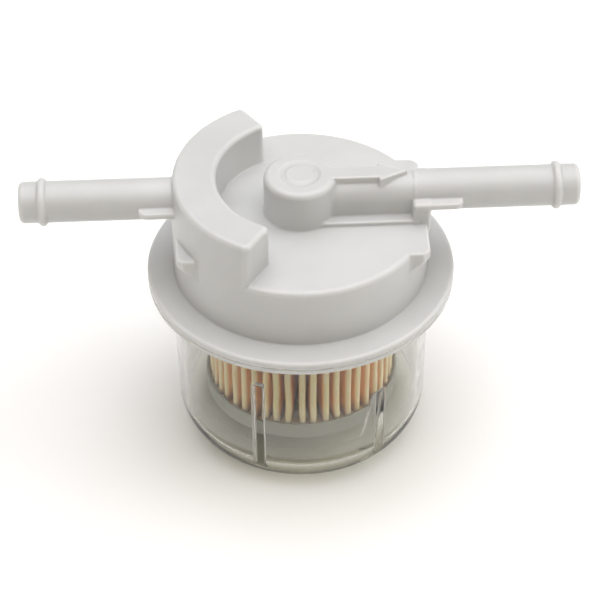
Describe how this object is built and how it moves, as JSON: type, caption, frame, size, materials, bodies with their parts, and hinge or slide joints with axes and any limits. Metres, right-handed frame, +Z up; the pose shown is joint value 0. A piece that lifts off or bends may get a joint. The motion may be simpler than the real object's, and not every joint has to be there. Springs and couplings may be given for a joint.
{
  "type": "fuel filter",
  "caption": "In-line fuel filter: a white cap with two hose stubs in line, welded to a clear round bowl that holds a pleated paper element.",
  "frame": {"origin": "centre of the bowl's flat base", "axes": "+Z up along the bowl's axis, +X along the stubs towards the outlet, as the arrow on the cap points"},
  "size_m": [0.1076, 0.0606, 0.0621],
  "materials": {
    "cap_plastic": "satin moulded white",
    "bowl_plastic": "clear, slightly cloudy",
    "paper": "resin-treated cream",
    "clip_steel": "rolled strip",
    "plate_plastic": "moulded grey-green",
    "core_plastic": "moulded natural",
    "adhesive": "set adhesive",
    "seal_rubber": "smooth"
  },
  "bodies": {
    "root": {"upper_cap": "cap_plastic", "clear_bowl": "bowl_plastic", "filter_paper": "paper", "seam_clip": "clip_steel", "top_end_plate": "plate_plastic", "bottom_end_plate": "plate_plastic", "core_tube": "core_plastic", "upper_bond": "adhesive", "lower_bond": "adhesive", "outlet_o_ring": "seal_rubber"}
  },
  "joints": []
}
